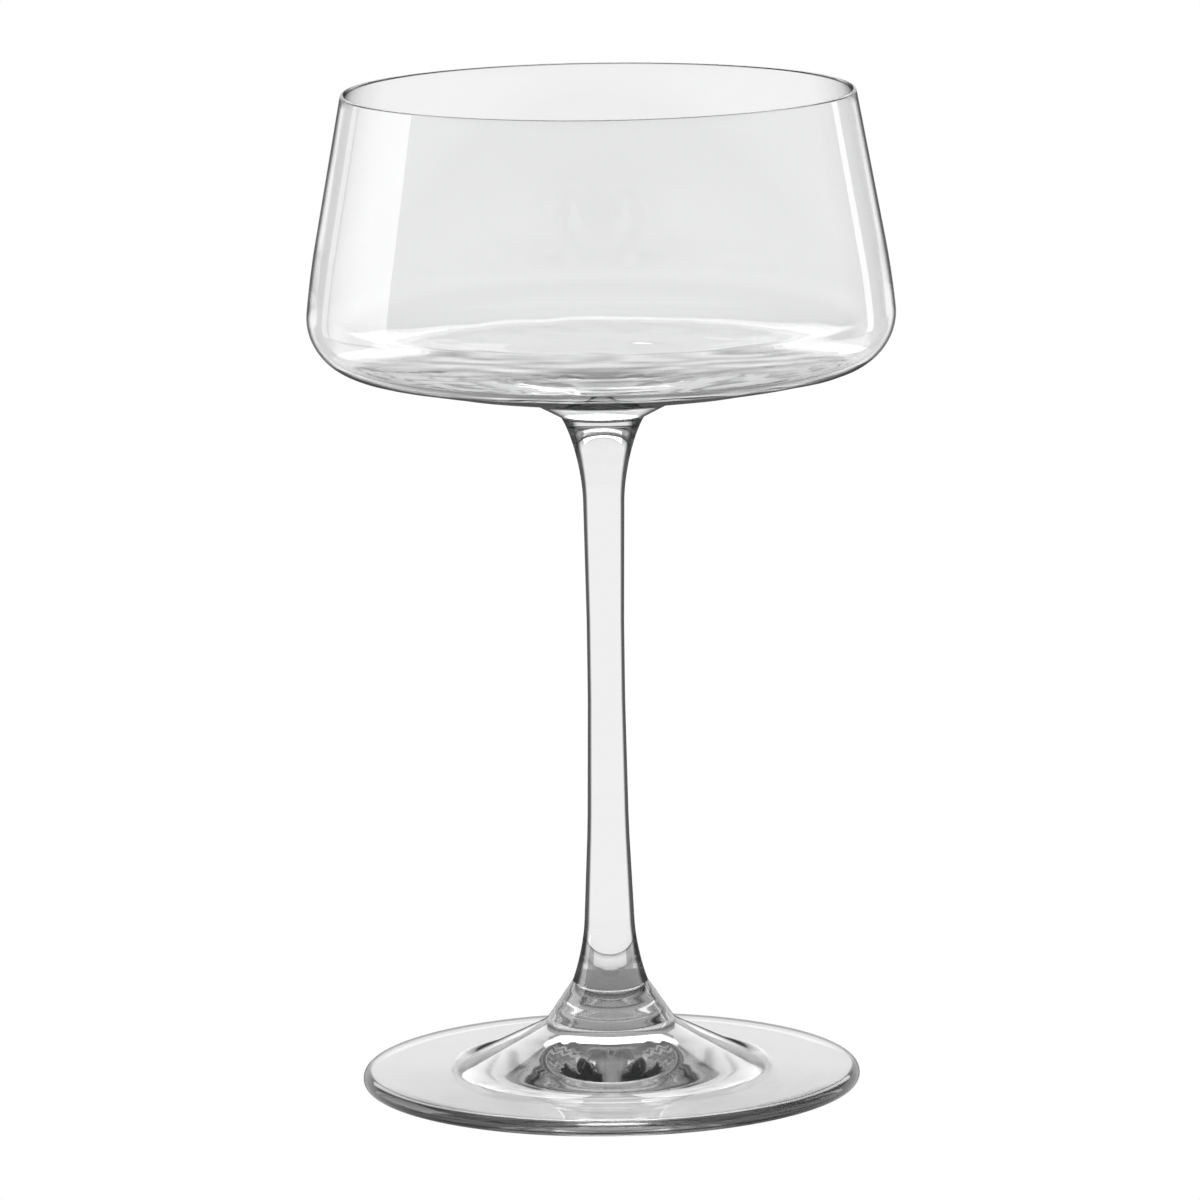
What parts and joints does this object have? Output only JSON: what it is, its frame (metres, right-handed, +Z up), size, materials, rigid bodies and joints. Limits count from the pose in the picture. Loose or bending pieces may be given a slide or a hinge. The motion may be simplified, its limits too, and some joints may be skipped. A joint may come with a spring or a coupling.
{
  "type": "martini glass",
  "caption": "Stemmed martini coupe in clear glass: a bowl that widens downwards to a rounded heel, a slim drawn stem and a round foot.",
  "frame": {"origin": "centre of the foot's resting ring, on the surface that the glass stands on", "axes": "+Z up along the axis of revolution, from the foot to the rim; +Y points away from the viewer and +X to the right"},
  "size_m": [0.0904, 0.0904, 0.155],
  "materials": {
    "bowl_glass": "clear, thin blown wall, fire-polished rim",
    "stem_glass": "clear, drawn solid",
    "foot_glass": "clear, pressed and fire-polished"
  },
  "bodies": {
    "root": {"bowl": "bowl_glass", "stem": "stem_glass", "foot": "foot_glass"}
  },
  "joints": []
}
